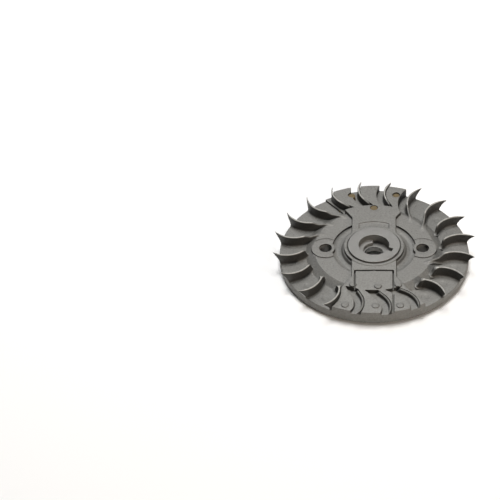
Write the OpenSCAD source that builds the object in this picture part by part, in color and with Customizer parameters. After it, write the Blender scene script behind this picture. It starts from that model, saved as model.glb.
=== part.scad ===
// Magneto flywheel with a cast-on cooling fan, for a small two-stroke engine.
// The spin axis is Z. The flat side faces -Z and rests on its two bosses at Z = 0.
// The fan side faces +Z. The magnet sector lies towards +Y, the counterweight sector
// towards -Y, and the bosses for the starter pawl bolts lie on the X axis.

/* [Disc] */
// Radius of the disc
disc_r = 48.5; // [47.5:0.25:49]
// Height of the flat face above the boss seats
face_z = 0.8; // [0.6:0.1:1.1]
// Height of the floor between the blades
floor_z = 5; // [4.6:0.1:5.2]
// Radius of the circular groove on the flat side
rim_groove_r = 43.4; // [43:0.1:44.5]
// Width of the circular groove
groove_w = 0.5; // [0.3:0.1:0.8]
// Depth of the circular groove
groove_d = 0.35; // [0.2:0.05:0.5]

/* [Hub] */
// Height of the hub's land on the fan side
hub_z = 10.4; // [10.2:0.1:10.8]
// Radius of the land, which is the insert's flange
land_r = 13.3; // [13:0.1:13.5]
// Outer radius of the lip around the land
lip_r = 15.4; // [15:0.1:15.8]
// Outer radius of the dish around the hub
dish_r = 21.4; // [21:0.1:21.5]
// Height of the plateau around the dish
plateau_z = 8; // [7.6:0.1:8.2]
// Radius of the hub's land on the flat side
flat_land_r = 15.3; // [15:0.1:15.6]
// Outer radius of the moat around that land
moat_r = 18.1; // [17.8:0.1:18.4]

/* [Hub insert] */
// Radius of the insert on the flat side
insert_r = 9.85; // [9.5:0.05:10]
// Radius of the nut recess
recess_r = 7.8; // [7.5:0.1:8]
// Depth of the nut recess
recess_depth = 5.4; // [5:0.1:5.8]
// Depth of the crescent ledge in the recess
ledge_depth = 3.4; // [3:0.1:3.8]
// Radius of the taper at its wide end, on the flat side
taper_wide_r = 5; // [4.8:0.1:5.2]
// Radius of the taper at its narrow end
taper_narrow_r = 4.65; // [4.5:0.05:4.75]
// Width of the keyway
key_w = 2.4; // [2:0.1:3]

/* [Bosses] */
// Distance of each boss from the spin axis
boss_x = 24.8; // [24.6:0.1:25]
// Radius of a boss
boss_r = 7.3; // [7.1:0.1:7.4]
// Outer radius of the bush in a boss
bush_r = 4; // [3.8:0.1:4.2]
// Radius of the bolt hole through a bush
bolt_r = 3.2; // [3:0.1:3.3]

/* [Fan] */
// Height of the blade crests
crest_z = 10.6; // [10.5:0.1:11]
// Radius of the blade tips at the crest
tip_r = 52; // [51.5:0.25:53]
// Thickness of a blade
blade_t = 1.5; // [1.3:0.1:1.8]
// Radius of the arc that a blade follows
arc_r = 12.7; // [12.4:0.1:13]

/* [Sectors] */
// Width of the bridges from the hub to the sectors
bridge_w = 22.6; // [22:0.2:23]
// Height of the magnet sector
magnet_sector_z = 9.8; // [9.6:0.1:10]
// Height of the counterweight sector beside the hub
weight_hub_z = 9.4; // [9.2:0.1:9.6]
// Height of the counterweight sector at the rim
weight_rim_z = 7.8; // [7.6:0.1:8]
// Width of the pockets beside the blades of a sector
pocket_w = 3.4; // [3:0.1:3.6]
// Height of the pocket floors in the sectors
pocket_z = 6.2; // [6:0.1:6.5]
// Radius of the round windows over the rivets
window_r = 2; // [1.9:0.1:2.2]

/* [Hidden] */
$fn = 96;

cast_grey = "#9a9a96";
steel_grey = "#7d7b78";
rust_brown = "#6f6045";
magnet_black = "#3c3a38";

clear = 3;                          // how far a cutting shape stands out of the metal
reach = tip_r + clear;              // a radius outside everything

// Blades are counted from the one just above +X. Each follows an arc, then a straight root.
blade_count = 20;
blade_pitch = 360 / blade_count;
first_blade = 10.5;
blade_mid_r = 42.5;
arc_centre = [blade_mid_r + 0.7, -arc_r + 0.05];
arc_start = 124;
root_length = 12.5;
root_lap = 0.4;                     // how far the root runs into the arc
root_step = 0.1;                    // a root is this much thinner on each side than its arc
root_r = 26.5;                      // where the root runs out on the plateau
drop_r = 34;                        // where the crest has dropped to the root
low_z = 8.8;                        // height of the root there
right_blades = [17, 18, 19, 0, 1, 2, 3];
left_blades = [7, 8, 9, 10, 11, 12, 13];
magnet_blades = [4, 5, 6];
weight_blades = [14, 15, 16];
magnet_edge_blade = 3;
weight_edge_blade = 13;

plateau_r = 30.5;                   // the plateau slopes to the floor between these radii
slope_r = 35;
pocket_r = 32.5;                    // inner end of the sector pockets
flare = [16.4, 30.5];               // where a sector starts to widen, and its first corner
flare_y = 22.5;
near_angle = -28;
magnet_sector_gap = pocket_w + 0.6; // from the edge blade to the magnet sector
far_angle = 33;

// Steel cast into the magnet sector, and behind the holes of the counterweight sector.
steel_z = [2, 5.8];
steel_h = steel_z[1] - steel_z[0];
bush_z = [0.5, 7.2];                // the boss bushes stop under the fan side
pole_angle = 16;
rivet_pole_r = 42.4;
shoe_r = 36.6;
shoe_far_angle = 26;
shoe_skin = 0.3;
magnet_half_w = 5;
magnet_out_r = 45.5;
plate_count = 7;
plate_gap = 0.04;
keeper_y = [28, 34.4];
keeper_w = 16;
stud_y = 30.3;
rivet_r = 1.6;
head_r = 1.9;
head_z = 9.3;
weight_y = [27, 44];
weight_w = 20;
weight_hole = [36.3, 13];
weight_pin_y = 29;

function polar(r, a) = [r * cos(a), r * sin(a)];
function blade_angle(i) = first_blade + i * blade_pitch;

// ------------------------------------------------------------------ shared shapes

// A solid of revolution through points given as radius and height.
module turned(points) {
    rotate_extrude()
        polygon(points);
}

// A tube that cuts a ring groove between two radii from z up.
module ring(inner, outer, z, h) {
    translate([0, 0, z])
        difference() {
            cylinder(r = outer, h = h);
            translate([0, 0, -clear])
                cylinder(r = inner, h = h + 2 * clear);
        }
}

// Everything inside the angle from a0 to a1, out to the reach.
module wedge(a0, a1) {
    polygon([
        [0, 0],
        polar(reach * 1.3, a0),
        polar(reach * 1.3, (a0 + a1) / 2),
        polar(reach * 1.3, a1)
    ]);
}

// Plan of a blade whose middle lies on +X, widened on its outer or inner side.
module blade_plan(outer = 0, inner = 0) {
    translate(arc_centre) {
        intersection() {
            difference() {
                circle(r = arc_r + blade_t / 2 + outer);
                circle(r = arc_r - blade_t / 2 - inner);
            }
            polygon([
                [0, 0],
                polar(2 * arc_r, arc_start),
                polar(3 * arc_r, 75),
                polar(2 * arc_r, 20)
            ]);
        }
        rotate(arc_start - 90)
            translate([-root_length, arc_r - blade_t / 2 - inner + root_step])
                square([root_length + root_lap, blade_t + outer + inner - 2 * root_step]);
    }
}

// A blade's plan raised through the whole height, for cutting to a profile.
module blade_wall(i, outer = 0, inner = 0) {
    rotate(blade_angle(i))
        linear_extrude(crest_z + clear)
            blade_plan(outer, inner);
}

// The disc, with the plateau around the dish and its slope.
module base_body() {
    turned([
        [0, face_z],
        [disc_r, face_z],
        [disc_r, floor_z],
        [slope_r, floor_z],
        [plateau_r, plateau_z],
        [0, plateau_z]
    ]);
}

// Plan of a sector that points to +Y. A circle in line with its first blade trims one side.
module sector_plan(edge_angle, margin) {
    difference() {
        intersection() {
            circle(r = disc_r);
            polygon([
                [bridge_w / 2, 0],
                [bridge_w / 2, flare_y],
                flare,
                polar(reach, 90 + near_angle),
                polar(reach * 1.2, 90),
                polar(reach, 90 + far_angle),
                [-flare[0], flare[1]],
                [-bridge_w / 2, flare_y],
                [-bridge_w / 2, 0]
            ]);
        }
        sector_edge(edge_angle, margin);
    }
}

// The circle that trims a sector, in line with the blade at the edge angle.
module sector_edge(edge_angle, margin) {
    rotate(edge_angle)
        translate(arc_centre)
            circle(r = arc_r + blade_t / 2 + margin);
}

// ------------------------------------------------------------------ rotor disc

module magnet_sector() {
    translate([0, 0, face_z])
        linear_extrude(magnet_sector_z - face_z)
            sector_plan(blade_angle(magnet_edge_blade), magnet_sector_gap);
}

module weight_sector() {
    intersection() {
        rotate(180)
            translate([0, 0, face_z])
                linear_extrude(hub_z)
                    sector_plan(blade_angle(weight_edge_blade) - 180, 0);
        turned([
            [0, 0],
            [reach, 0],
            [reach, weight_rim_z],
            [disc_r, weight_rim_z],
            [lip_r, weight_hub_z],
            [0, weight_hub_z]
        ]);
    }
}

module hub() {
    lip_z = hub_z - 0.6;
    translate([0, 0, face_z])
        cylinder(r = lip_r, h = lip_z - face_z);
}

module dish_cutter() {
    lip_foot_z = hub_z - 1.4;
    dish_z = 6;
    turned([
        [lip_r - clear, hub_z + clear],
        [lip_r - clear, lip_foot_z],
        [lip_r, lip_foot_z],
        [lip_r + 1.4, dish_z + 0.6],
        [lip_r + 3.2, dish_z],
        [dish_r - 1.2, dish_z + 0.3],
        [dish_r, dish_z + 0.9],
        [dish_r, hub_z + clear]
    ]);
}

// A boss, cut off where the dish begins, with a round wall left around its bush.
module boss(side) {
    boss_z = plateau_z + 0.2;
    wall_r = bush_r + 0.8;
    difference() {
        translate([side * boss_x, 0, 0])
            cylinder(r = boss_r, h = boss_z);
        dish_cutter();
    }
    translate([side * boss_x, 0, 0])
        cylinder(r = wall_r, h = boss_z);
}

// Thin ring around a boss on the fan side.
module boss_ring(side) {
    translate([side * boss_x, 0, 0])
        ring(boss_r, boss_r + groove_w, plateau_z - 0.5, clear);
}

// The circular groove near the rim on the flat side.
module rim_groove() {
    inner = rim_groove_r - groove_w / 2;
    ring(inner, inner + groove_w, -clear, clear + face_z + groove_d);
}

// A pocket beside a sector blade, which also takes the blade itself.
module pocket(i, outer, inner) {
    intersection() {
        translate([0, 0, pocket_z])
            blade_wall(i, outer, inner);
        ring(pocket_r, reach, 0, crest_z + 2 * clear);
    }
}

// The frame line that is sunk around the middle of the counterweight sector.
module frame_line() {
    frame_w = 20;
    frame_y = 18;
    line_w = 0.7;
    translate([-frame_w / 2, -reach, weight_rim_z - 0.8])
        linear_extrude(hub_z)
            difference() {
                square([frame_w, reach - frame_y]);
                translate([line_w, -clear])
                    square([frame_w - 2 * line_w, reach - frame_y - line_w + clear]);
            }
}

// The arc-shaped nick beside the lip on the magnet sector.
module lip_nick() {
    nick_w = 15.6;
    nick_out_r = 19.2;
    intersection() {
        ring(lip_r, nick_out_r, magnet_sector_z - 0.5, clear);
        translate([-nick_w / 2, 0, 0])
            cube([nick_w, reach, hub_z + clear]);
    }
}

// Low round pads on the counterweight sector, in a row by the hub and a row by the rim.
module weight_pads() {
    pad_r = 1.7;
    hub_row_z = 9.3;
    rim_row_z = 8.45;
    for (spot = [[-10.6, 28.8], [2, 30], [12.2, 29]])
        pad(spot, pad_r, hub_row_z);
    for (spot = [[-14.4, 43], [0.8, 43.6], [13, 43.4]])
        pad(spot, pad_r, rim_row_z);
}

module pad(spot, r, top) {
    translate([spot[0], -spot[1], floor_z])
        cylinder(r = r, h = top - floor_z);
}

module flat_side_moat() {
    moat_z = face_z + 1.5;
    difference() {
        turned([
            [0, -clear],
            [moat_r, -clear],
            [moat_r, face_z],
            [moat_r - 1, moat_z],
            [flat_land_r + 0.8, moat_z],
            [flat_land_r, face_z + 0.5],
            [0, face_z + 0.5]
        ]);
        for (side = [-1, 1])
            translate([side * boss_x, 0, -2 * clear])
                cylinder(r = boss_r + 0.9, h = hub_z);
    }
}

// The round-ended groove that runs outwards from each boss on the flat side.
module boss_tail(side) {
    tail_r = 2.3;
    tail_end = 41;
    tail_length = tail_end - tail_r - boss_x;
    difference() {
        translate([side * boss_x, 0, face_z - 1])
            rotate([0, side * 90, 0]) {
                cylinder(r = tail_r, h = tail_length);
                translate([0, 0, tail_length])
                    sphere(r = tail_r);
            }
        translate([side * boss_x, 0, -clear])
            cylinder(r = boss_r, h = hub_z);
    }
}

module bolt_hole(side) {
    translate([side * boss_x, 0, -clear])
        cylinder(r = bolt_r, h = hub_z + 2 * clear);
}

// Holes and dimples that the supports of the steel pieces leave on the flat side.
module flat_side_holes() {
    support_r = 2.5;
    pin_hole_r = 1.75;
    dimple_r = 1.9;
    dimple_top = face_z + 0.5;
    side_dimple = [29.4, 21];
    middle_dimples = [27.2, 40.2];
    for (side = [-1, 1]) {
        rotate(90 + side * pole_angle)
            translate([rivet_pole_r, 0, -clear])
                cylinder(r = support_r, h = clear + steel_z[0]);
        rotate(-90 + side * weight_hole[1])
            translate([weight_hole[0], 0, -clear])
                cylinder(r = support_r, h = clear + steel_z[0]);
        rotate(90 + side * side_dimple[1])
            translate([side_dimple[0], 0, -clear])
                cylinder(r = dimple_r, h = clear + dimple_top);
    }
    for (y = middle_dimples)
        translate([0, y, -clear])
            cylinder(r = dimple_r, h = clear + dimple_top);
    translate([0, -weight_pin_y, -clear])
        cylinder(r = pin_hole_r, h = clear + steel_z[0]);
}

// Windows on the fan side, down to the heads of the rivets and the keeper's stud.
module windows() {
    for (side = [-1, 1])
        rotate(90 + side * pole_angle)
            translate([rivet_pole_r, 0, steel_z[1]])
                cylinder(r = window_r, h = hub_z);
    translate([0, stud_y, steel_z[1]])
        cylinder(r = window_r, h = hub_z);
}

module steel_cavities() {
    hub_insert_solid();
    for (side = [-1, 1])
        bush_solid(side);
    magnet_solid();
    keeper_bar();
    pole_shoe_solid(1);
    pole_shoe_solid(-1);
    counterweight_solid();
}

module rotor_disc() {
    color(cast_grey)
        difference() {
            union() {
                difference() {
                    base_body();
                    dish_cutter();
                }
                magnet_sector();
                weight_sector();
                weight_pads();
                hub();
                boss(-1);
                boss(1);
            }
            ring(land_r, land_r + groove_w, hub_z - 1.2, clear);
            flat_side_moat();
            rim_groove();
            for (side = [-1, 1]) {
                boss_ring(side);
                boss_tail(side);
                bolt_hole(side);
            }
            for (i = magnet_blades)
                pocket(i, pocket_w, 0);
            for (i = weight_blades)
                pocket(i, 0, pocket_w);
            lip_nick();
            frame_line();
            flat_side_holes();
            windows();
            steel_cavities();
        }
}

// ------------------------------------------------------------------ fan

// One free blade on the base: a high arc outside, a low root inside, a tip past the rim.
module free_blade(i) {
    difference() {
        intersection() {
            blade_wall(i);
            turned([
                [root_r, plateau_z],
                [plateau_r, plateau_z],
                [slope_r, floor_z],
                [disc_r, floor_z],
                [disc_r + 0.7, floor_z + 1.2],
                [tip_r, crest_z],
                [drop_r + 3, crest_z],
                [drop_r, low_z],
                [root_r, plateau_z + 0.4]
            ]);
        }
        for (side = [-1, 1])
            translate([side * boss_x, 0, 0])
                cylinder(r = boss_r + groove_w, h = hub_z + clear);
    }
}

// One blade in a sector's pocket. Its crest starts level with the sector.
module sector_blade(i, start_z, end_z) {
    intersection() {
        blade_wall(i);
        turned([
            [pocket_r, pocket_z],
            [disc_r, pocket_z],
            [tip_r - 1, end_z],
            [drop_r + 5, end_z],
            [pocket_r, start_z]
        ]);
    }
}

module fan_blades_left() {
    color(cast_grey)
        for (i = left_blades)
            free_blade(i);
}

module fan_blades_right() {
    color(cast_grey)
        for (i = right_blades)
            free_blade(i);
}

module sector_blades() {
    weight_start_z = weight_hub_z - 0.8;
    weight_end_z = weight_rim_z + 0.6;
    color(cast_grey) {
        for (i = magnet_blades)
            sector_blade(i, magnet_sector_z, crest_z);
        for (i = weight_blades)
            sector_blade(i, weight_start_z, weight_end_z);
    }
}

// ------------------------------------------------------------------ hub insert

module hub_insert_solid() {
    flange_z = 6.4;
    translate([0, 0, face_z + 0.5])
        cylinder(r = insert_r, h = flange_z - face_z - 0.5);
    translate([0, 0, flange_z])
        cylinder(r = land_r, h = hub_z - flange_z);
}

// The recess for the nut, with a crescent ledge left standing in it.
module nut_recess() {
    ledge_z = hub_z - ledge_depth;
    recess_z = hub_z - recess_depth;
    ledge_r = 5.4;
    ledge_span = [96, 205];
    translate([0, 0, ledge_z])
        cylinder(r = recess_r, h = ledge_depth + clear);
    translate([0, 0, recess_z])
        difference() {
            cylinder(r = recess_r, h = recess_depth);
            difference() {
                translate([0, 0, -clear])
                    linear_extrude(recess_depth + 2 * clear)
                        wedge(ledge_span[0], ledge_span[1]);
                cylinder(r = ledge_r, h = recess_depth);
            }
        }
}

module keyway() {
    key_angle = -23;
    recess_reach = 10.2;
    bore_reach = taper_wide_r + 0.7;
    rotate(key_angle) {
        translate([0, -key_w / 2, hub_z - recess_depth])
            cube([recess_reach, key_w, recess_depth + clear]);
        translate([0, -key_w / 2, 0])
            cube([bore_reach, key_w, hub_z]);
    }
}

module hub_insert() {
    mouth_z = face_z + 0.5;
    chamfer = 0.5;
    taper_h = hub_z - recess_depth - mouth_z + 0.01;
    color(steel_grey)
        difference() {
            hub_insert_solid();
            nut_recess();
            keyway();
            translate([0, 0, mouth_z])
                cylinder(r1 = taper_wide_r, r2 = taper_narrow_r, h = taper_h);
            translate([0, 0, mouth_z - clear])
                cylinder(r = taper_wide_r, h = clear);
            translate([0, 0, mouth_z])
                cylinder(r1 = taper_wide_r + chamfer, r2 = taper_wide_r - 0.04, h = chamfer);
        }
}

// ------------------------------------------------------------------ boss bushes

module bush_solid(side) {
    translate([side * boss_x, 0, -clear])
        cylinder(r = bush_r, h = clear + bush_z[1]);
}

module boss_bush(side) {
    translate([side * boss_x, 0, bush_z[0]])
        difference() {
            cylinder(r = bush_r, h = bush_z[1] - bush_z[0]);
            translate([0, 0, -clear])
                cylinder(r = bolt_r, h = hub_z + clear);
        }
}

module boss_bush_left() {
    color(steel_grey)
        boss_bush(-1);
}

module boss_bush_right() {
    color(steel_grey)
        boss_bush(1);
}

// ------------------------------------------------------------------ magnet sector steel

module magnet_solid() {
    translate([0, 0, steel_z[0]])
        linear_extrude(steel_h)
            intersection() {
                translate([-magnet_half_w, keeper_y[1]])
                    square([2 * magnet_half_w, reach]);
                circle(r = magnet_out_r);
            }
}

module magnet() {
    color(magnet_black)
        magnet_solid();
}

module keeper_bar() {
    translate([-keeper_w / 2, keeper_y[0], steel_z[0]])
        cube([keeper_w, keeper_y[1] - keeper_y[0], steel_h]);
}

module magnet_keeper() {
    color(rust_brown)
        union() {
            keeper_bar();
            translate([0, stud_y, steel_z[1] - 1])
                cylinder(r = head_r, h = head_z - steel_z[1] + 1);
        }
}

// Outline of a pole shoe: an arc-shaped block that is flush with the rim. It stays a little
// inside the trimmed edge of its sector.
module shoe_plan(side) {
    intersection() {
        difference() {
            circle(r = disc_r);
            circle(r = shoe_r);
            sector_edge(blade_angle(magnet_edge_blade), magnet_sector_gap + shoe_skin);
        }
        mirror([side > 0 ? 0 : 1, 0, 0])
            polygon([
                [magnet_half_w, 0],
                [magnet_half_w, reach],
                polar(reach * 1.3, 90 - shoe_far_angle)
            ]);
    }
}

module pole_shoe_solid(side) {
    translate([0, 0, steel_z[0]])
        linear_extrude(steel_h)
            shoe_plan(side);
}

// A stack of separate steel plates, drilled for the rivet.
module pole_shoe(side) {
    pitch = steel_h / plate_count;
    for (k = [0 : plate_count - 1])
        translate([0, 0, steel_z[0] + k * pitch + plate_gap / 2])
            linear_extrude(pitch - plate_gap)
                difference() {
                    shoe_plan(side);
                    rotate(90 - side * pole_angle)
                        translate([rivet_pole_r, 0])
                            circle(r = rivet_r);
                }
}

module pole_shoe_left() {
    color(rust_brown)
        pole_shoe(-1);
}

module pole_shoe_right() {
    color(rust_brown)
        pole_shoe(1);
}

module pole_rivets() {
    color(rust_brown)
        for (side = [-1, 1])
            rotate(90 + side * pole_angle)
                translate([rivet_pole_r, 0, 0]) {
                    translate([0, 0, steel_z[0]])
                        cylinder(r = rivet_r, h = steel_h + 0.01);
                    translate([0, 0, steel_z[1]])
                        cylinder(r = head_r, h = head_z - steel_z[1]);
                }
}

// ------------------------------------------------------------------ counterweight

module counterweight_solid() {
    translate([-weight_w / 2, -weight_y[1], steel_z[0]])
        cube([weight_w, weight_y[1] - weight_y[0], steel_h]);
}

module weight_pin_places() {
    for (side = [-1, 1])
        rotate(-90 + side * weight_hole[1])
            translate([weight_hole[0], 0, 0])
                children();
}

module counterweight() {
    color(rust_brown)
        difference() {
            counterweight_solid();
            weight_pin_places()
                cylinder(r = rivet_r, h = hub_z);
        }
}

module counterweight_rivets() {
    color(rust_brown)
        weight_pin_places()
            translate([0, 0, steel_z[0]])
                cylinder(r = rivet_r, h = steel_h);
}

rotor_disc();
fan_blades_left();
fan_blades_right();
sector_blades();
hub_insert();
boss_bush_left();
boss_bush_right();
magnet();
magnet_keeper();
pole_shoe_left();
pole_shoe_right();
pole_rivets();
counterweight();
counterweight_rivets();
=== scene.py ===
"""Visual model of a small engine's magneto flywheel with cast cooling blades.

The casting, its blades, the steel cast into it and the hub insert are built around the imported
frame, in metres, with the spin axis on Z and the fan side up.
"""

import logging
import math
from dataclasses import dataclass, field, replace
from enum import Enum
from typing import Any, Callable, Optional, Sequence

import bmesh
import bpy
import numpy as np
from mathutils import Matrix, Vector


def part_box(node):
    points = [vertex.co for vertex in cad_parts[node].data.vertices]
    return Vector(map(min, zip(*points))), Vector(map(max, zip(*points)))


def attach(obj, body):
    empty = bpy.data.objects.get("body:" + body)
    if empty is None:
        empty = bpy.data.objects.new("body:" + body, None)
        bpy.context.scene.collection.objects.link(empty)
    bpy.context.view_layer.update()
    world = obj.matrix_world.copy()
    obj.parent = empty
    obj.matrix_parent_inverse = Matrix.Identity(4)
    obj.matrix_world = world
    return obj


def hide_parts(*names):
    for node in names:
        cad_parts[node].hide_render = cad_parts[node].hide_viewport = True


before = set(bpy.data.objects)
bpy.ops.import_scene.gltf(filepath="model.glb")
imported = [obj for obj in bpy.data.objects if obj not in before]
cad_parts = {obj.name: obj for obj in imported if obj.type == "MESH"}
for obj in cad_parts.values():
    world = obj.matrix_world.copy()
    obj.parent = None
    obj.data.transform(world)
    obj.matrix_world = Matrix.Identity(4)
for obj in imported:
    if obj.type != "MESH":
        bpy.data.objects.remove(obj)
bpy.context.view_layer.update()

LOG = logging.getLogger("flywheel")
MM = 0.001
BODY = "root"
FLOOR_Z = 5.0  # top of the casting between the blades, in millimetres
PITCH_DEG = 18.0  # angle from one blade to the next
ON_AXIS_R = 0.001  # millimetres, stands for the axis where a turned end closes
Profile = Callable[[np.ndarray], np.ndarray]


def radius_of(node_name: str) -> float:
    """Return half the width of a CAD node along X, in millimetres."""
    low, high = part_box(node_name)
    return (high.x - low.x) / 2 / MM


def top_of(node_name: str) -> float:
    """Return the highest point of a CAD node, in millimetres."""
    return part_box(node_name)[1].z / MM


def smooth(edge0: float, edge1: float, x: np.ndarray) -> np.ndarray:
    """Blend from 0 to 1 as x goes from edge0 to edge1, which may be the smaller one."""
    t = np.clip((x - edge0) / (edge1 - edge0), 0.0, 1.0)
    return t * t * (3.0 - 2.0 * t)


# -------------------------------------------------------- materials


def linear(hex_colour: str) -> tuple[float, float, float, float]:
    """Turn an sRGB hex colour into linear RGBA.

    Args:
        hex_colour: The colour, with its hash sign.

    Returns:
        Red, green, blue and an opacity of 1.
    """
    parts = [int(hex_colour[i:i + 2], 16) / 255 for i in (1, 3, 5)]
    rgb = [c / 12.92 if c <= 0.04045 else ((c + 0.055) / 1.055) ** 2.4 for c in parts]
    return (rgb[0], rgb[1], rgb[2], 1.0)


def add_node(tree: bpy.types.NodeTree, kind: str, inputs: Optional[dict] = None,
             **settings: Any) -> bpy.types.Node:
    """Add a node with its settings, values and links.

    Args:
        tree: The node tree.
        kind: The node's type name.
        inputs: Socket names or numbers, each with a value or an output to link.
        **settings: The node's own properties.

    Returns:
        The new node.
    """
    made = tree.nodes.new(kind)
    for name, value in settings.items():
        setattr(made, name, value)
    for key, value in (inputs or {}).items():
        if isinstance(value, bpy.types.NodeSocket):
            tree.links.new(value, made.inputs[key])
        else:
            made.inputs[key].default_value = value
    return made


def math_node(tree: bpy.types.NodeTree, operation: str, *values: Any) -> bpy.types.NodeSocket:
    """Return the output of a math node, whose inputs are numbers or outputs to link."""
    inputs = dict(enumerate(values))
    return add_node(tree, "ShaderNodeMath", inputs, operation=operation).outputs[0]


def range_node(tree: bpy.types.NodeTree, value: bpy.types.NodeSocket,
               source: tuple[float, float] = (0.0, 1.0),
               target: tuple[float, float] = (0.0, 1.0)) -> bpy.types.NodeSocket:
    """Return a value moved from the source range to the target range and kept inside it."""
    inputs = {0: value, 1: source[0], 2: source[1], 3: target[0], 4: target[1]}
    return add_node(tree, "ShaderNodeMapRange", inputs).outputs[0]


def colour_node(tree: bpy.types.NodeTree, share: bpy.types.NodeSocket, first: Any,
                second: Any) -> bpy.types.NodeSocket:
    """Return the mix of two colours, each given as a value or an output to link."""
    inputs = {0: share, 6: first, 7: second}
    return add_node(tree, "ShaderNodeMix", inputs, data_type="RGBA").outputs[2]


def height_node(tree: bpy.types.NodeTree, vector: bpy.types.NodeSocket) -> bpy.types.NodeSocket:
    """Return the Z of a vector output."""
    return add_node(tree, "ShaderNodeSeparateXYZ", {0: vector}).outputs["Z"]


def scale_for(size_mm: float) -> float:
    """Return the noise scale whose features are about size_mm across."""
    return 1.0 / (size_mm * MM)


class Surface(Enum):
    """How the surface of a metal was made."""

    DIE_CAST = "die_cast"
    TURNED = "turned"
    RUSTED = "rusted"


@dataclass(frozen=True)
class MetalFinish:
    """A metal with mottled colour, changing roughness and a fine relief.

    Attributes:
        name: The material's name.
        surface: How the surface was made.
        light: Hex colour of the pale parts of the mottle.
        dark: Hex colour of its dark parts.
        spot: Hex colour of the spots on it.
        metallic: Share of metallic reflection.
        roughness: Least and greatest roughness.
        grain_mm: Size of the grain.
        mottle_mm: Size of the mottle.
        spot_share: How much of the noise turns into spots.
        relief_mm: Height of the relief.
        wall_shade: How much darker upright walls are painted above floor_mm, as painted shade.
        floor_mm: Height where the painted wall shade starts.
        rim_mm: Radius from which the painted wall shade is left off, as the rim is taken to be
            turned.
        crest_mm: Height from which the crests of the blades get a painted highlight.
        crest_painted_highlight: How much brighter that painted highlight makes them.
        level_span: Upward share of the normal, from wall to level, over which the painted shade
            fades.
            floor_blend, rim_blend, crest_blend: Widths of the three changes, in millimetres.
        spot_size: Size of the spots, as a share of the mottle.
        spot_blend: Width of a spot's edge in the noise.
    """

    name: str
    surface: Surface
    light: str
    dark: str
    spot: str
    metallic: float
    roughness: tuple[float, float]
    grain_mm: float
    mottle_mm: float
    spot_share: float
    relief_mm: float
    wall_shade: float = 0.0
    floor_mm: float = FLOOR_Z
    rim_mm: float = 1000.0
    crest_mm: float = 10.25
    crest_painted_highlight: float = 1.0
    level_span: tuple[float, float] = (0.2, 0.8)
    floor_blend: float = 0.4
    rim_blend: float = 0.3
    crest_blend: float = 0.2
    spot_size: float = 0.6
    spot_blend: float = 0.08

    def build(self) -> bpy.types.Material:
        """Make the material.

        Returns:
            The material, which reads object coordinates and normals only.
        """
        material = bpy.data.materials.new(self.name)
        material.use_nodes = True
        tree = material.node_tree
        shader = tree.nodes["Principled BSDF"]
        shader.inputs["Metallic"].default_value = self.metallic
        coords = add_node(tree, "ShaderNodeTexCoord").outputs
        place = coords["Object"]
        grain = self._noise(tree, place, self.grain_mm, detail=3.0)
        mottle = self._noise(tree, place, self.mottle_mm, detail=4.0)
        colour = colour_node(tree, mottle, linear(self.dark), linear(self.light))
        edge = 1.0 - self.spot_share
        speckle = self._noise(tree, place, self.mottle_mm * self.spot_size, detail=6.0)
        spots = range_node(tree, speckle, (edge, edge + self.spot_blend))
        colour = colour_node(tree, spots, colour, linear(self.spot))
        # The base colour carries painted wall shade and a painted highlight on the crests.
        tree.links.new(self._paint_wall_shade_and_crest_highlight(tree, coords, colour), shader.inputs["Base Color"])
        rough = range_node(tree, grain, target=self.roughness)
        tree.links.new(rough, shader.inputs["Roughness"])
        relief = self._relief(tree, place, grain, mottle)
        bump = add_node(tree, "ShaderNodeBump",
                        {"Strength": 1.0, "Distance": self.relief_mm * MM, "Height": relief})
        tree.links.new(bump.outputs[0], shader.inputs["Normal"])
        return material

    def _paint_wall_shade_and_crest_highlight(self, tree: bpy.types.NodeTree, coords: Any,
               colour: bpy.types.NodeSocket) -> bpy.types.NodeSocket:
        """Paint shade on upright walls and a highlight on the crests.

        Args:
            tree: The node tree.
            coords: Outputs of the coordinate node.
            colour: The colour of the level parts.

        Returns:
            The colour, with painted shade on walls above the fan's floor, a painted highlight on
            the crests of the blades, and no painted shade on the rim, which is taken to be turned.
        """
        height = height_node(tree, coords["Object"])
        # Painted shade: the more upright a face stands, the darker its colour.
        level = range_node(tree, math_node(tree, "ABSOLUTE", height_node(tree, coords["Normal"])),
                           self.level_span, (1.0 - self.wall_shade, 1.0))
        # No painted shade below the fan's floor or on the rim.
        below = range_node(tree, height,
                           (self.floor_mm * MM, (self.floor_mm - self.floor_blend) * MM))
        rim = range_node(tree, self._radius(tree, coords["Object"]),
                         ((self.rim_mm - self.rim_blend) * MM, self.rim_mm * MM))
        # Painted highlight: crests above crest_mm are made brighter.
        crest = range_node(tree, height,
                           (self.crest_mm * MM, (self.crest_mm + self.crest_blend) * MM),
                           (1.0, self.crest_painted_highlight))
        share = math_node(tree, "MAXIMUM", math_node(tree, "MAXIMUM", level, below), rim)
        return add_node(tree, "ShaderNodeVectorMath",
                        {0: colour, "Scale": math_node(tree, "MULTIPLY", share, crest)},
                        operation="SCALE").outputs[0]

    @staticmethod
    def _radius(tree: bpy.types.NodeTree, place: bpy.types.NodeSocket) -> bpy.types.NodeSocket:
        """Measure the distance from the spin axis.

        Args:
            tree: The node tree.
            place: The object coordinates.

        Returns:
            The distance, in metres.
        """
        flat = add_node(tree, "ShaderNodeVectorMath", {0: place, 1: (1.0, 1.0, 0.0)},
                        operation="MULTIPLY").outputs[0]
        away = add_node(tree, "ShaderNodeVectorMath", {0: flat}, operation="LENGTH")
        return away.outputs["Value"]

    @staticmethod
    def _noise(tree: bpy.types.NodeTree, place: bpy.types.NodeSocket, size_mm: float,
               detail: float) -> bpy.types.NodeSocket:
        """Return a noise value with features size_mm across and detail finer levels."""
        made = add_node(tree, "ShaderNodeTexNoise",
                        {"Vector": place, "Scale": scale_for(size_mm), "Detail": detail})
        return made.outputs[0]

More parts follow.
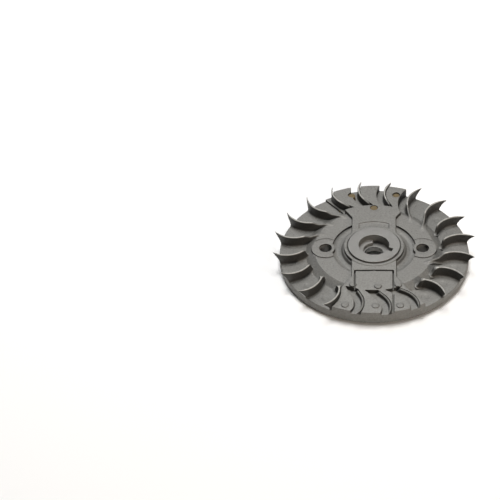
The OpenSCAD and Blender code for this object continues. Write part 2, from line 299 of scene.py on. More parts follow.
    def _relief(self, tree: bpy.types.NodeTree, place: bpy.types.NodeSocket,
                grain: bpy.types.NodeSocket, mottle: bpy.types.NodeSocket) -> bpy.types.NodeSocket:
        """Return the height pattern that the surface's making leaves.

        Args:
            tree: The node tree.
            place: Where it is read.
            grain: The fine noise.
            mottle: The coarse noise.

        Returns:
            The height.
        """
        if self.surface is not Surface.TURNED:
            coarse_share = 0.5
            return math_node(tree, "MULTIPLY_ADD", mottle, coarse_share, grain)
        # Turning leaves rings about the spin axis.
        feed_mm = 0.35  # coarser than a real tool feed of about 0.1 mm
        ring_share = 0.25
        turns = math_node(tree, "MULTIPLY", self._radius(tree, place), 2 * math.pi / (feed_mm * MM))
        return math_node(tree, "MULTIPLY_ADD", math_node(tree, "SINE", turns), ring_share, grain)


# Die-cast aluminium, left bare: the die's grain makes it matt and faintly speckled.
# Its upright walls get painted shade and its blade crests a painted highlight.
CAST_ALUMINIUM = MetalFinish(
    "die_cast_aluminium", Surface.DIE_CAST, light="#868580", dark="#605e5a", spot="#3d3b38",
    metallic=0.35, roughness=(0.45, 0.65), grain_mm=0.35, mottle_mm=1.0, spot_share=0.36,
    relief_mm=0.11, wall_shade=0.72, crest_painted_highlight=2.1)
# The same metal on the disc, with no painted wall shade on the rim, which is taken to be turned.
DISC_ALUMINIUM = replace(CAST_ALUMINIUM, name="die_cast_aluminium_turned_rim", rim_mm=48.3)
# Turned steel: a tighter highlight than the casting, and rings about the axis.
TURNED_STEEL = MetalFinish(
    "turned_steel", Surface.TURNED, light="#878682", dark="#757370", spot="#565450",
    metallic=0.45, roughness=(0.42, 0.58), grain_mm=0.4, mottle_mm=3.0, spot_share=0.24,
    relief_mm=0.02)
# Stamped or rolled steel with a film of rust: olive brown, dull and patchy.
RUSTED_STEEL = MetalFinish(
    "rusted_steel", Surface.RUSTED, light="#7a6b4c", dark="#5c4f38", spot="#3f3222",
    metallic=0.35, roughness=(0.60, 0.85), grain_mm=0.25, mottle_mm=0.9, spot_share=0.40,
    relief_mm=0.05)
# Cast magnet alloy, dark and grainy.
MAGNET_ALLOY = MetalFinish(
    "cast_magnet_alloy", Surface.DIE_CAST, light="#4a4744", dark="#353331", spot="#262422",
    metallic=0.5, roughness=(0.5, 0.7), grain_mm=0.3, mottle_mm=1.8, spot_share=0.3,
    relief_mm=0.04)


# -------------------------------------------------------- meshes


def object_from(name: str, data: bpy.types.ID) -> bpy.types.Object:
    """Put a mesh, light or camera in the scene, at the origin.

    Args:
        name: The object's name.
        data: What it holds.

    Returns:
        The new object.
    """
    made = bpy.data.objects.new(name, data)
    bpy.context.scene.collection.objects.link(made)
    return made


def mesh_from(name: str, points: np.ndarray, faces: Sequence[Sequence[int]]) -> bpy.types.Mesh:
    """Make a clean closed mesh.

    Args:
        name: The mesh's name.
        points: Points in millimetres.
        faces: Faces as indices of points.

    Returns:
        The mesh in metres, with doubles merged and normals outwards.
    """
    mesh = bpy.data.meshes.new(name)
    mesh.from_pydata([tuple(p) for p in np.asarray(points) * MM], [], [tuple(f) for f in faces])
    work = bmesh.new()
    work.from_mesh(mesh)
    bmesh.ops.remove_doubles(work, verts=work.verts, dist=1e-6)
    bmesh.ops.dissolve_degenerate(work, edges=work.edges, dist=1e-7)
    bmesh.ops.recalc_face_normals(work, faces=work.faces)
    work.to_mesh(mesh)
    work.free()
    return mesh


def shade(mesh: bpy.types.Mesh, angle_deg: float) -> None:
    """Shade a mesh smooth, but for edges sharper than an angle in degrees."""
    mesh.shade_smooth()
    mesh.set_sharp_from_angle(angle=math.radians(angle_deg))


def baked(host: bpy.types.Object, name: str) -> bpy.types.Mesh:
    """Apply the modifiers of an object and remove it.

    Args:
        host: The object.
        name: Name for the result.

    Returns:
        The mesh with its modifiers applied.
    """
    bpy.context.view_layer.update()
    graph = bpy.context.evaluated_depsgraph_get()
    mesh = bpy.data.meshes.new_from_object(host.evaluated_get(graph))
    mesh.name = name
    bpy.data.objects.remove(host)
    return mesh


def joined(name: str, meshes: Sequence[bpy.types.Mesh]) -> bpy.types.Mesh:
    """Join meshes that share one material.

    Args:
        name: Name for the result.
        meshes: The meshes.

    Returns:
        One mesh with that material.
    """
    work = bmesh.new()
    for mesh in meshes:
        work.from_mesh(mesh)
    made = bpy.data.meshes.new(name)
    work.to_mesh(made)
    work.free()
    made.materials.append(meshes[0].materials[0])
    return made


def cad_copy(node_name: str) -> bpy.types.Mesh:
    """Copy a CAD node's mesh and merge its loose triangles.

    Args:
        node_name: The node.

    Returns:
        The copy, without materials.
    """
    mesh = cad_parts[node_name].data.copy()
    work = bmesh.new()
    work.from_mesh(mesh)
    bmesh.ops.remove_doubles(work, verts=work.verts, dist=1e-7)
    bmesh.ops.dissolve_degenerate(work, edges=work.edges, dist=1e-8)
    work.to_mesh(mesh)
    work.free()
    mesh.materials.clear()
    return mesh


def deliver(piece: bpy.types.Object, slot: str, *nodes: str) -> None:
    """Hand a finished piece to the frame.

    Args:
        piece: The piece, at the origin.
        slot: Name of the record's material slot for its finish; not used.
        *nodes: The CAD nodes it stands for.
    """
    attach(piece, BODY)
    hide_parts(*nodes)
    LOG.info("%s: %d faces, for %s", piece.name, len(piece.data.polygons), ", ".join(nodes))


# -------------------------------------------------------- geometry nodes


@dataclass
class Repeater:
    """A Geometry Nodes tree that repeats one object about the spin axis or along it."""

    name: str
    tree: bpy.types.NodeTree = field(init=False)
    sockets: dict[str, str] = field(init=False, default_factory=dict)

    def __post_init__(self) -> None:
        """Build the tree with its named inputs."""
        self.tree = bpy.data.node_groups.new(self.name, "GeometryNodeTree")
        face = self.tree.interface
        face.new_socket("Geometry", in_out="INPUT", socket_type="NodeSocketGeometry")
        for label, kind in (("Piece", "Object"), ("Count", "Int"), ("First angle", "Float"),
                            ("Angle step", "Float"), ("Rise", "Float"), ("Finish", "Material")):
            made = face.new_socket(label, in_out="INPUT", socket_type=f"NodeSocket{kind}")
            self.sockets[label] = made.identifier
        face.new_socket("Geometry", in_out="OUTPUT", socket_type="NodeSocketGeometry")
        given = add_node(self.tree, "NodeGroupInput").outputs
        index = add_node(self.tree, "GeometryNodeInputIndex").outputs[0]
        turn = math_node(self.tree, "MULTIPLY_ADD", index, given["Angle step"],
                         given["First angle"])
        lift = math_node(self.tree, "MULTIPLY", index, given["Rise"])
        places = add_node(self.tree, "ShaderNodeCombineXYZ", {"Z": lift}).outputs[0]
        turns = add_node(self.tree, "ShaderNodeCombineXYZ", {"Z": turn}).outputs[0]
        spots = add_node(self.tree, "GeometryNodePoints",
                         {"Count": given["Count"], "Position": places})
        source = add_node(self.tree, "GeometryNodeObjectInfo", {"Object": given["Piece"]},
                          transform_space="ORIGINAL")
        placed = add_node(self.tree, "GeometryNodeInstanceOnPoints",
                          {"Points": spots.outputs[0], "Instance": source.outputs["Geometry"],
                           "Rotation": turns})
        real = add_node(self.tree, "GeometryNodeRealizeInstances", {0: placed.outputs[0]})
        coated = add_node(self.tree, "GeometryNodeSetMaterial",
                          {"Geometry": real.outputs[0], "Material": given["Finish"]})
        add_node(self.tree, "NodeGroupOutput", {0: coated.outputs[0]})

    def repeat(self, mesh: bpy.types.Mesh, finish: bpy.types.Material, count: int,
               first_deg: float = 0.0, step_deg: float = 0.0,
               rise_mm: float = 0.0) -> bpy.types.Mesh:
        """Repeat a mesh.

        Args:
            mesh: The mesh to repeat, in place for angle zero.
            finish: Its material.
            count: How many there are.
            first_deg: The first one's angle about the spin axis.
            step_deg: The angle from one to the next.
            rise_mm: The height from one to the next.

        Returns:
            One plain mesh that holds them all.
        """
        source = object_from(f"{mesh.name}_source", mesh)
        host = object_from(f"{mesh.name}_host", bpy.data.meshes.new(f"{mesh.name}_host"))
        modifier = host.modifiers.new(self.name, "NODES")
        modifier.node_group = self.tree
        values = {"Piece": source, "Count": count, "First angle": math.radians(first_deg),
                  "Angle step": math.radians(step_deg), "Rise": rise_mm * MM, "Finish": finish}
        for label, value in values.items():
            modifier[self.sockets[label]] = value
        result = baked(host, mesh.name)
        bpy.data.objects.remove(source)
        result.materials.clear()
        result.materials.append(finish)
        result.polygons.foreach_set("material_index", [0] * len(result.polygons))
        return result


# -------------------------------------------------------- blades


class Root(Enum):
    """How the inner end of a blade finishes."""

    RIDGE = "ridge"
    KNOB = "knob"
    BOSS = "boss"
    SECTOR = "sector"


@dataclass
class BladeForm:
    """Sizes of one cast blade, in millimetres, with its middle on +X.

    The blade follows an arc from its tip and then a straight root. Its wall has draft, a
    rounded crest and a fillet where it meets the casting.

    Attributes:
        name: The mesh's name.
        root: How the inner end finishes.
        crest: Height of the crest at a radius.
        base: Height of the casting at a radius.
        tip_r: Radius that the tip reaches at its crest.
        rim_r: Radius of the tip at its foot.
        end_r: Radius of the inner end at its foot.
        arc_r, arc_centre, arc_span: The arc, with its two angles in degrees.
        root_length: Length of the straight root that the path can use.
        crest_half, foot_half: Half the wall's thickness at the crest and at the foot.
        fillet: Radius of the fillet at the foot.
        sink: How far the foot goes into the casting.
        stations: Steps along the blade.
        tip_sweep: Power by which the tip runs out past the rim as it rises.
        end_lean: How far the inner end leans outwards from foot to crest.
        least_height: The lowest the wall gets.
        nose_from, nose_height: Where the inner end starts to fall, and the height left there.
        tip_share, tip_taper: Thickness left at the tip, and where the wall is full.
        round_from: Where the inner end starts to narrow.
        knob_half, knob_start, knob_end: Extra half thickness of a knob, and where it is.
    """

    name: str
    root: Root
    crest: Profile
    base: Profile
    tip_r: float
    rim_r: float
    end_r: float
    arc_r: float = 12.7
    arc_centre: tuple[float, float] = (43.2, -12.65)
    arc_span: tuple[float, float] = (20.0, 124.0)
    root_length: float = 12.5
    crest_half: float = 0.5
    foot_half: float = 0.78
    fillet: float = 0.9
    sink: float = 0.35
    stations: int = 44
    tip_sweep: float = 1.5
    end_lean: float = 1.2
    least_height: float = 0.25
    nose_from: float = 0.93
    nose_height: float = 0.35
    tip_share: float = 0.4
    tip_taper: float = 0.22
    round_from: float = 0.95
    knob_half: float = 0.75
    knob_start: tuple[float, float] = (0.80, 0.90)
    knob_end: float = 0.97

    def path(self, s: np.ndarray) -> tuple[np.ndarray, np.ndarray]:
        """Follow the middle line of the blade.

        Args:
            s: Path lengths from the arc's outer end.

        Returns:
            The points there, and the normals across the wall.
        """
        first, last = (math.radians(a) for a in self.arc_span)
        arc_length = (last - first) * self.arc_r
        angle = first + np.minimum(s, arc_length) / self.arc_r
        normal = np.stack([np.cos(angle), np.sin(angle)], -1)
        along = np.stack([-np.sin(angle), np.cos(angle)], -1)
        past = np.maximum(s - arc_length, 0.0)[..., None]
        return np.array(self.arc_centre) + self.arc_r * normal + past * along, normal

    def length_at(self, radius: np.ndarray) -> np.ndarray:
        """Find where the path crosses circles about the spin axis.

        Args:
            radius: Radii of the circles.

        Returns:
            The path length at each crossing.
        """
        first, last = (math.radians(a) for a in self.arc_span)
        samples = 600
        s = np.linspace(0.0, (last - first) * self.arc_r + self.root_length, samples)
        away = np.linalg.norm(self.path(s)[0], axis=1)
        return np.interp(-np.asarray(radius), -away, s)

    def section(self) -> np.ndarray:
        """List the heights at which the wall's section has points.

        Returns:
            Shares of the height, from foot to crest. -1 stands for the sunk foot.
        """
        fillet_steps = [0.0, 0.03, 0.08, 0.16]
        wall_steps = [0.3, 0.5, 0.7, 0.86]
        crest_steps = [0.93, 0.965, 0.99, 1.0]
        return np.array([-1.0] + fillet_steps + wall_steps + crest_steps)

    def mesh(self) -> bpy.types.Mesh:
        """Build the blade.

        Returns:
            The closed mesh of one blade.
        """
        share = self.section()
        t = np.linspace(0.0, 1.0, self.stations)
        up = np.clip(share, 0.0, 1.0)
        tip = self.length_at(self.rim_r + (self.tip_r - self.rim_r) * up ** self.tip_sweep)
        end = self.length_at(np.full_like(up, self.end_r) + self.end_lean * up)
        s = tip[None, :] + t[:, None] * (end - tip)[None, :]
        centre, normal = self.path(s)
        away = np.linalg.norm(centre, axis=-1)
        foot = self.base(away)
        height = np.maximum(self.crest(away) - foot, self.least_height)
        if self.root is not Root.SECTOR:
            nose = smooth(1.0, self.nose_from, t)[:, None]
            height = height * (self.nose_height + (1.0 - self.nose_height) * nose)
        z = np.where(share[None, :] < 0, foot - self.sink, foot + height * up[None, :])
        half = self._half(t, up, z - foot, foot + height - z)
        return self._skin(centre, normal, half, z)

    def _half(self, t: np.ndarray, up: np.ndarray, rise: np.ndarray,
              below: np.ndarray) -> np.ndarray:
        """Return half the wall's thickness, by station and section step.

        Args:
            t: Share of the blade's length, from tip to inner end.
            up: Share of the wall's height.
            rise: Height above the foot.
            below: Depth below the crest.

        Returns:
            Half the thickness.
        """
        half = self.foot_half + (self.crest_half - self.foot_half) * up[None, :]
        curl = np.clip(np.clip(rise, 0.0, None) / self.fillet, 0.0, 1.0)
        half = half + self.fillet * (1.0 - np.sqrt(1.0 - (1.0 - curl) ** 2))
        crown = np.clip(below / self.crest_half, 0.0, 1.0)
        least_crown, least_end = 0.02, 0.05  # squared shares that keep the wall open
        half = half * np.sqrt(np.clip(1.0 - (1.0 - crown) ** 2, least_crown, 1.0))
        grown = self.tip_share + (1.0 - self.tip_share) * smooth(0.0, self.tip_taper, t)
        half = half * grown[:, None]
        narrowed = np.clip(1.0 - smooth(self.round_from, 1.0, t) ** 2, least_end, 1.0)
        half = half * np.sqrt(narrowed)[:, None]
        if self.root is Root.KNOB:
            swell = self.knob_half * smooth(*self.knob_start, t)[:, None]
            half = half + swell * smooth(1.0, self.knob_end, t)[:, None]
        return half

    def _skin(self, centre: np.ndarray, normal: np.ndarray, half: np.ndarray,
              z: np.ndarray) -> bpy.types.Mesh:
        """Close the two sides, the foot and the ends into one mesh.

        Args:
            centre: Middle line of the wall, by station and section step.
            normal: The direction across the wall there.
            half: Half the wall's thickness there.
            z: Height there.

        Returns:
            The closed mesh.
        """
        sides = []
        for sign in (1.0, -1.0):
            plan = centre + sign * half[..., None] * normal
            sides.append(np.concatenate([plan, z[..., None]], -1))
        rows, steps = z.shape
        ring = np.concatenate([sides[0], sides[1][:, ::-1]], 1)
        around = 2 * steps
        points = ring.reshape(-1, 3)
        faces = []
        for i in range(rows - 1):
            for k in range(around):
                nxt = (k + 1) % around
                faces.append((i * around + k, i * around + nxt,
                              (i + 1) * around + nxt, (i + 1) * around + k))
        for i in (0, rows - 1):
            for k in range(steps - 1):
                a, b = i * around + k, i * around + around - 1 - k
                faces.append((a, a + 1, b - 1, b))
        made = mesh_from(self.name, points, faces)
        shade(made, angle_deg=50)
        return made


@dataclass
class Fan:
    """The ring of blades, as three pieces that match the three groups of the casting.

    Attributes:
        repeater: The tree that repeats blades.
        finish: Their material.
        first: Angle of blade 0, in degrees.
        plateau_z, plateau_r, slope_r: The raised middle of the casting under the free
            blades, and the radii between which it slopes down to the floor.
        root_z, knob_z: Heights of a low root and of a root that ends in a knob.
        root_fall, root_span: How much a low root falls inwards, and between which radii.
        step_span: Radii between which a free blade rises from its root to full height.
        end_r: Radius at which each kind of free blade ends.
        tip_r, rim_inset: Where a free blade's tip stands, and its foot inside the rim.
        sector_floor_z, sector_tip_r, sector_end_r, sector_fillet, sector_inset,
        sector_span: The same for a blade in a sector's pocket.
    """

    repeater: Repeater
    finish: bpy.types.Material
    first: float = 10.5
    plateau_z: float = 8.0
    plateau_r: float = 30.5
    slope_r: float = 35.0
    root_z: float = 8.8
    knob_z: float = 9.5
    root_fall: float = 0.4
    root_span: tuple[float, float] = (33.0, 27.0)
    step_span: tuple[float, float] = (33.4, 37.0)
    end_r: dict[Root, float] = field(
        default_factory=lambda: {Root.RIDGE: 27.6, Root.BOSS: 33.4, Root.KNOB: 32.9})
    tip_r: float = 51.9
    rim_inset: float = 0.15
    sector_floor_z: float = 6.2
    sector_tip_r: float = 50.9
    sector_end_r: float = 32.7
    sector_fillet: float = 0.5
    sector_inset: float = 0.2
    sector_span: tuple[float, float] = (33.0, 39.0)

    def free_crest(self, away: np.ndarray) -> np.ndarray:
        """Shape the crest of a blade that ends in a low root.

        Args:
            away: Distances from the spin axis.

        Returns:
            The crest's heights: full outside, then a drop to the low root.
        """
        inside = self.root_z - self.root_fall * smooth(*self.root_span, away)
        full = top_of("fan_blades_right")
        return inside + (full - inside) * smooth(*self.step_span, away)

    def knob_crest(self, away: np.ndarray) -> np.ndarray:
        """Return the crest's height of a blade that stays high up to its end."""
        full = top_of("fan_blades_right")
        return self.knob_z + (full - self.knob_z) * smooth(*self.step_span, away)

    def free_base(self, away: np.ndarray) -> np.ndarray:
        """Return the height of the casting under a free blade."""
        share = np.clip((away - self.plateau_r) / (self.slope_r - self.plateau_r), 0.0, 1.0)
        return self.plateau_z + (FLOOR_Z - self.plateau_z) * share

    def free(self, root: Root) -> BladeForm:
        """Shape a blade that stands on the open floor.

        Args:
            root: How its inner end finishes.

        Returns:
            The blade's form.
        """
        rim = radius_of("rotor_disc") - self.rim_inset
        crest = self.knob_crest if root is Root.KNOB else self.free_crest
        return BladeForm(f"blade_{root.value}", root, crest, self.free_base,
                         self.tip_r, rim, self.end_r[root])

    def sector(self, name: str, start_z: float, end_z: float) -> BladeForm:
        """Shape a blade that stands in a pocket of a sector.

        Args:
            name: The mesh's name.
            start_z: Height of its crest at the inner end.
            end_z: Height of its crest at the rim.

        Returns:
            The blade's form.
        """
        def crest(away: np.ndarray) -> np.ndarray:
            """Return the crest's height, from start_z inside to end_z outside."""
            return start_z + (end_z - start_z) * smooth(*self.sector_span, away)

        def base(away: np.ndarray) -> np.ndarray:
            """Return the height of the pocket's floor."""
            return np.full_like(away, self.sector_floor_z)

        rim = radius_of("rotor_disc") - self.sector_inset
        return BladeForm(name, Root.SECTOR, crest, base, self.sector_tip_r, rim,
                         self.sector_end_r, fillet=self.sector_fillet)

    def run(self, form: BladeForm, first_blade: int, count: int) -> bpy.types.Mesh:
        """Repeat a form of blade over count places that start at first_blade."""
        return self.repeater.repeat(form.mesh(), self.finish, count,
                                    self.first + first_blade * PITCH_DEG, PITCH_DEG)

    def build(self) -> None:
        """Make the three pieces."""
        ridge, boss, knob = (self.free(root) for root in (Root.RIDGE, Root.BOSS, Root.KNOB))
        magnet_side = self.sector("blade_magnet_sector", start_z=9.8, end_z=10.6)
        weight_side = self.sector("blade_weight_sector", start_z=8.6, end_z=8.4)
        # Each run is a form, the number of its first place and how many there are.
        groups = {
            "fan_blades_right": [(knob, 17, 2), (ridge, 19, 1), (boss, 0, 2), (ridge, 2, 2)],
            "fan_blades_left": [(ridge, 7, 3), (boss, 10, 2), (knob, 12, 2)],
            "sector_blades": [(magnet_side, 4, 3), (weight_side, 14, 3)],
        }
        for node_name, runs in groups.items():
            mesh = joined(f"{node_name}_cast", [self.run(*run) for run in runs])
            deliver(object_from(f"{node_name}_cast", mesh), "cast_aluminium", node_name)


# -------------------------------------------------------- casting


@dataclass
class Softened:
    """A CAD node whose edges are rounded as casting or deburring rounds them.

    Attributes:
        node: The CAD node.
        voxel_mm: Fineness of the remesh.
        passes: Smoothing passes.
        most_faces: Triangles that are left at most.
        finish: The material.
    """

    node: str
    voxel_mm: float
    passes: int
    most_faces: int
    finish: bpy.types.Material

    def mesh(self, sculpt: Optional[Callable[[np.ndarray], np.ndarray]] = None) -> bpy.types.Mesh:
        """Remesh the node finely, smooth it, sculpt it and thin it.

        Args:
            sculpt: Moves an array of points in millimetres, if given.

        Returns:
            The closed, rounded mesh.
        """
        host = object_from(f"{self.node}_rounding", cad_copy(self.node))
        remesh = host.modifiers.new("remesh", "REMESH")
        remesh.mode = "VOXEL"
        remesh.voxel_size = self.voxel_mm * MM * 1.0
        relax = host.modifiers.new("relax", "SMOOTH")
        relax.factor = 0.5
        relax.iterations = self.passes
        mesh = baked(host, f"{self.node}_dense")
        if sculpt is not None:
            flat = np.empty(len(mesh.vertices) * 3, np.float32)
            mesh.vertices.foreach_get("co", flat)
            moved = sculpt(flat.reshape(-1, 3).astype(float) / MM) * MM
            mesh.vertices.foreach_set("co", moved.astype(np.float32).ravel())
            mesh.update()
        triangles = sum(len(p.vertices) - 2 for p in mesh.polygons)
        host = object_from(f"{self.node}_thinning", mesh)
        thin = host.modifiers.new("thin", "DECIMATE")
        thin.ratio = min(1.0, self.most_faces / max(triangles, 1))
        made = baked(host, f"{self.node}_finished")
        made.materials.clear()
        made.materials.append(self.finish)
        shade(made, angle_deg=60)
        return made


@dataclass
class Casting:
    """The rotor casting: disc, hub, dish, bosses and the two sectors.

    Attributes:
        finish: The material.
        pin_r, pin_depth, pin_ring_r, pin_edge: Radius and depth of an ejector pin's mark, the
            circle that the marks are on and the width of their edge.
        pin_gaps: Numbers of the gaps between blades that hold a mark.
        first_gap: Angle of gap 0, in degrees.
        groove_r, groove_half, groove_depth, groove_top: The groove near the rim of the flat
            side, and the heights between which it fades out.
        wave_mm, wave_span: Waviness of the cast faces, and the heights it lies between.
    """

    finish: bpy.types.Material
    pin_r: float = 1.9
    pin_depth: float = 0.18
    pin_ring_r: float = 42.0
    pin_edge: float = 0.25
    pin_gaps: tuple[int, ...] = (11, 12, 16, 17, 18, 1, 8)
    first_gap: float = 19.5
    groove_r: float = 43.4
    groove_half: float = 0.4
    groove_depth: float = 0.4
    groove_top: tuple[float, float] = (1.4, 1.1)
    wave_mm: float = 0.03
    wave_span: tuple[float, float] = (1.0, 10.0)

    def sculpt(self, points: np.ndarray) -> np.ndarray:
        """Press in the marks of the ejector pins and give the faces a slight waviness.

        Args:
            points: Points in millimetres.

        Returns:
            The moved points.
        """
        x, y, z = points.T
        under, over, full = 0.3, 0.4, 0.1  # the marks reach only this far off the floor
        on_floor = (smooth(FLOOR_Z - under, FLOOR_Z, z)
                    * smooth(FLOOR_Z + over, FLOOR_Z + full, z))
        press = np.zeros_like(z)
        for gap in self.pin_gaps:
            angle = math.radians(self.first_gap + gap * PITCH_DEG)
            away = np.hypot(x - self.pin_ring_r * math.cos(angle),
                            y - self.pin_ring_r * math.sin(angle))
            press += smooth(self.pin_r + self.pin_edge, self.pin_r - self.pin_edge, away)
        off = np.abs(np.hypot(x, y) - self.groove_r)
        groove = (smooth(self.groove_half, self.groove_half / 3, off)
                  * smooth(*self.groove_top, z))
        # Bent waves about 20 mm long. The lengths are for one radian and don't divide evenly.
        along, across, bend_length, bend = 3.1, 3.7, 5.3, 1.7
        wave = (self.wave_mm * np.sin(x / along + bend * np.sin(y / bend_length))
                * np.sin(y / across))
        inside = (z > self.wave_span[0]) & (z < self.wave_span[1])
        return np.stack([x, y, z - self.pin_depth * press * on_floor
                         + self.groove_depth * groove + wave * inside], -1)

    def build(self) -> None:
        """Make the casting."""
        rounded = Softened("rotor_disc", voxel_mm=0.22, passes=2, most_faces=190_000,
                           finish=self.finish)
        mesh = rounded.mesh(self.sculpt)
        deliver(object_from("rotor_casting", mesh), "cast_aluminium", "rotor_disc")


# -------------------------------------------------------- steel


def turned_mesh(name: str, profile: Sequence[tuple[float, float]], centre: tuple[float, float],
                segments: int = 72) -> bpy.types.Mesh:
    """Turn a closed profile about an upright axis.

    Args:
        name: The mesh's name.
        profile: Radius and height of each corner, in millimetres.
        centre: Where the axis stands, in millimetres.
        segments: Faces around.

    Returns:
        The closed mesh.
    """
    angles = np.linspace(0.0, 2 * math.pi, segments, endpoint=False)
    rows = [[(centre[0] + r * math.cos(a), centre[1] + r * math.sin(a), z) for r, z in profile]
            for a in angles]
    count = len(profile)
    faces = []
    for i in range(segments):
        j = (i + 1) % segments
        for k in range(count):
            nxt = (k + 1) % count
            faces.append((i * count + k, i * count + nxt, j * count + nxt, j * count + k))
    made = mesh_from(name, np.array(rows).reshape(-1, 3), faces)
    shade(made, angle_deg=35)
    return made


@dataclass
class HubSteel:
    """The hub insert and the two bushes.

    Attributes:
        finish: The material.
        bore_r: Radius of a bush's bore.
        break_mm: How far edges are broken.
        shrink_mm: How much smaller a bush's radius is than its CAD node's.
    """

    finish: bpy.types.Material
    bore_r: float = 3.2
    break_mm: float = 0.3
    shrink_mm: float = 0.01

    def build(self) -> None:
        """Make the insert and both bushes."""
        insert = Softened("hub_insert", voxel_mm=0.14, passes=2, most_faces=120_000,
                          finish=self.finish).mesh()
        deliver(object_from("hub_insert_turned", insert), "machined_steel", "hub_insert")
        for side in ("left", "right"):
            name = f"boss_bush_{side}"
            low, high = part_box(name)
            centre = (low.x + high.x) / 2 / MM
            outer, c = radius_of(name) - self.shrink_mm, self.break_mm
            bottom, top = low.z / MM, high.z / MM
            profile = [(self.bore_r, bottom + c), (self.bore_r + c, bottom), (outer - c, bottom),
                       (outer, bottom + c), (outer, top - c), (outer - c, top),
                       (self.bore_r + c, top), (self.bore_r, top - c)]
            mesh = turned_mesh(f"{name}_turned", profile, (centre, 0.0))
            mesh.materials.append(self.finish)
            deliver(object_from(f"{name}_turned", mesh), "machined_steel", name)


@dataclass
class MagnetSteel:
    """Laminated pole shoes of the magnet sector and their rivets.

    Attributes:
        repeater: The tree that stacks plates and repeats rivets.
        finish: The material.
        plates: Plates in a shoe.
        gap_mm: Gap that shows between two plates.
        burr_mm: How far a plate's edges are broken.
        rivet_r, head_r, dome_mm: Radius of a rivet's shank and head, and height of its dome.
        rivet_ring_r, rivet_angle: Where the two rivets stand, in millimetres and in degrees
            to each side of the sector's middle.
    """

    repeater: Repeater
    finish: bpy.types.Material
    plates: int = 7
    gap_mm: float = 0.04
    burr_mm: float = 0.07
    rivet_r: float = 1.6
    head_r: float = 1.88
    dome_mm: float = 0.35
    rivet_ring_r: float = 42.4
    rivet_angle: float = 16.0

    def plate(self, side: str) -> bpy.types.Mesh:
        """Cut the lowest plate of a shoe from the CAD node and break its edges.

        Args:
            side: Which shoe, "left" or "right".

        Returns:
            The closed plate.
        """
        mesh = cad_copy(f"pole_shoe_{side}")
        low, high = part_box(f"pole_shoe_{side}")
        limit = low.z + (high.z - low.z) / self.plates
        work = bmesh.new()
        work.from_mesh(mesh)
        bmesh.ops.delete(work, geom=[v for v in work.verts if v.co.z > limit], context="VERTS")
        bmesh.ops.dissolve_limit(work, angle_limit=math.radians(1), verts=work.verts,
                                 edges=work.edges)
        rim = [e for e in work.edges if e.calc_face_angle(0.0) > math.radians(60)]
        bmesh.ops.bevel(work, geom=rim, offset=self.burr_mm * MM, segments=1, affect="EDGES",
                        clamp_overlap=True)
        bmesh.ops.triangulate(work, faces=[f for f in work.faces if len(f.verts) > 4])
        work.to_mesh(mesh)
        work.free()
        mesh.name = f"pole_plate_{side}"
        return mesh

    def rivet(self, centre: tuple[float, float], low: float, high: float, shank: float,
              neck: float) -> bpy.types.Mesh:
        """Return a rivet with a domed head.

        Args:
            centre: Where its axis stands, in millimetres.
            low: Height of its lower end.
            high: Height of its dome.
            shank: Radius of the shank.
            neck: Height at which the head starts.

        Returns:
            The closed mesh.
        """
        dome = [(self.head_r * math.cos(a), high - self.dome_mm + self.dome_mm * math.sin(a))
                for a in np.linspace(0.0, math.pi / 2, 6)[:-1]]
        body = [(ON_AXIS_R, low), (shank, low), (shank, neck), (self.head_r, neck)]
        return turned_mesh("rivet", body + dome + [(ON_AXIS_R, high)], centre, segments=48)

    def build(self) -> None:
        """Make the shoes and the rivets."""
        for side in ("left", "right"):
            low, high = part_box(f"pole_shoe_{side}")
            rise = (high.z - low.z + self.gap_mm * MM) / self.plates / MM
            stack = self.repeater.repeat(self.plate(side), self.finish, self.plates, rise_mm=rise)
            shade(stack, angle_deg=30)
            deliver(object_from(f"pole_shoe_{side}_laminated", stack), "laminated_steel",
                    f"pole_shoe_{side}")
        low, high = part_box("pole_rivets")
        neck = top_of("pole_shoe_right")
        mesh = self.rivet((self.rivet_ring_r, 0.0), low.z / MM, high.z / MM, self.rivet_r, neck)
        pair = self.repeater.repeat(mesh, self.finish, 2, 90.0 - self.rivet_angle,
                                    2 * self.rivet_angle)
        deliver(object_from("pole_rivets_headed", pair), "laminated_steel", "pole_rivets")


@dataclass
class Hidden:
    """Magnet and steel that show little or not at all, and keep their CAD shape."""

    finishes: dict[str, bpy.types.Material]

    def build(self) -> None:
        """Give each node its finish."""
        for node_name, finish in self.finishes.items():
            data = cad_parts[node_name].data
            data.materials.clear()
            data.materials.append(finish)
            LOG.info("%s: kept, with %s", node_name, finish.name)


# -------------------------------------------------------- studio


@dataclass(frozen=True)
class Lamp:
    """A square soft light that faces the hub.

    Attributes:
        name: Its name.
        azimuth: Direction it hangs in, from +X towards +Y, in degrees.
        elevation: Its height above the floor, in degrees.
        size: Its side, in metres.
        power: Its power, in watts.
        colour: Its sRGB hex colour.
    """

    name: str
    azimuth: float
    elevation: float
    size: float
    power: float
    colour: str

    def hang(self, distance: float) -> None:
        """Hang the light where it faces the hub.

        Args:
            distance: How far from the hub, in metres.
        """
        data = bpy.data.lights.new(self.name, "AREA")
        data.size, data.energy = self.size, self.power
        data.color = linear(self.colour)[:3]
        lamp = object_from(self.name, data)
        a, e = math.radians(self.azimuth), math.radians(self.elevation)
        way = Vector((math.cos(a) * math.cos(e), math.sin(a) * math.cos(e), math.sin(e)))
        turn = way.to_track_quat("Z", "Y").to_matrix().to_4x4()
        lamp.matrix_world = Matrix.Translation(way * distance) @ turn


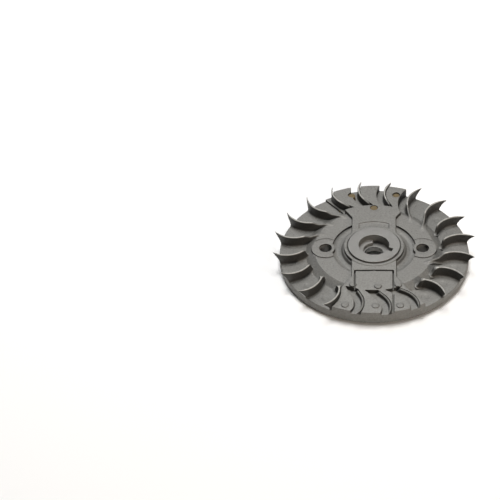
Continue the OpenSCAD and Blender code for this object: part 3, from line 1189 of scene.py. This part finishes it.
@dataclass
class Studio:
    """Pale floor, soft lights and the camera.

    Attributes:
        elevation: Height of the camera above the floor, in degrees.
        distance: Its distance from the hub's top, in metres.
        lamp_distance: Distance of the lights from the hub, in metres.
        air_light: Strength of the light from all around.
        floor_half, floor_drop: Half the floor's side, and its depth under the part, in metres.
        lens_mm: Focal length.
        hub_right_deg, hub_up_deg: How far right of and above the view's middle the hub is.
    """

    elevation: float = 41.0
    distance: float = 1.0
    lamp_distance: float = 1.2
    air_light: float = 0.06
    floor_half: float = 3.0
    floor_drop: float = 0.0001
    lens_mm: float = 140.4
    hub_right_deg: float = 3.638
    hub_up_deg: float = 0.159

    def floor(self) -> None:
        """Lay the floor just under the boss seats."""
        half = self.floor_half
        mesh = bpy.data.meshes.new("studio_floor")
        corners = [(-half, -half), (half, -half), (half, half), (-half, half)]
        mesh.from_pydata([(x, y, -self.floor_drop) for x, y in corners], [], [(0, 1, 2, 3)])
        material = bpy.data.materials.new("studio_paper")
        material.use_nodes = True
        shader = material.node_tree.nodes["Principled BSDF"]
        shader.inputs["Base Color"].default_value = linear("#f4f3f1")
        shader.inputs["Roughness"].default_value = 0.9
        mesh.materials.append(material)
        object_from("studio_floor", mesh)

    def camera(self) -> None:
        """Set up the camera, with the hub off-centre by aim and not by shift."""
        data = bpy.data.cameras.new("camera")
        data.sensor_width = 36.0
        data.lens = self.lens_mm
        camera = object_from("camera", data)
        target = Vector((0.0, 0.0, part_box("hub_insert")[1].z))
        e = math.radians(self.elevation)
        back = Vector((0.0, -math.cos(e), math.sin(e)))
        aim = Vector((math.tan(math.radians(self.hub_right_deg)),
                      math.tan(math.radians(self.hub_up_deg)), -1.0)).normalized()
        turn = back.to_track_quat("Z", "Y") @ aim.rotation_difference(Vector((0.0, 0.0, -1.0)))
        place = Matrix.Translation(target + back * self.distance)
        camera.matrix_world = place @ turn.to_matrix().to_4x4()
        bpy.context.scene.camera = camera

    def build(self) -> None:
        """Set the whole studio up."""
        self.floor()
        self.camera()
        for lamp in (Lamp("overhead", 90.0, 76.0, size=0.6, power=15.5, colour="#ffffff"),
                     Lamp("low_key", -47.0, 22.0, size=0.14, power=5.5, colour="#fff1e2"),
                     Lamp("back_rim", 120.0, 35.0, size=0.5, power=2.5, colour="#f2f6ff")):
            lamp.hang(self.lamp_distance)
        world = bpy.data.worlds.new("studio_air")
        world.use_nodes = True
        world.node_tree.nodes["Background"].inputs[0].default_value = linear("#d9d9dc")
        world.node_tree.nodes["Background"].inputs[1].default_value = self.air_light
        bpy.context.scene.world = world
        bpy.context.scene.view_settings.view_transform = "Standard"


def main() -> None:
    """Build the flywheel and its studio."""
    logging.basicConfig(level=logging.INFO, format="%(message)s")
    cast, turned = CAST_ALUMINIUM.build(), TURNED_STEEL.build()
    rusted, magnet = RUSTED_STEEL.build(), MAGNET_ALLOY.build()
    repeater = Repeater("repeat_piece")
    Studio().build()
    Casting(DISC_ALUMINIUM.build()).build()
    Fan(repeater, cast).build()
    HubSteel(turned).build()
    MagnetSteel(repeater, rusted).build()
    Hidden({"magnet": magnet, "magnet_keeper": rusted, "counterweight": rusted,
            "counterweight_rivets": rusted}).build()


if __name__ == "__main__":
    main()
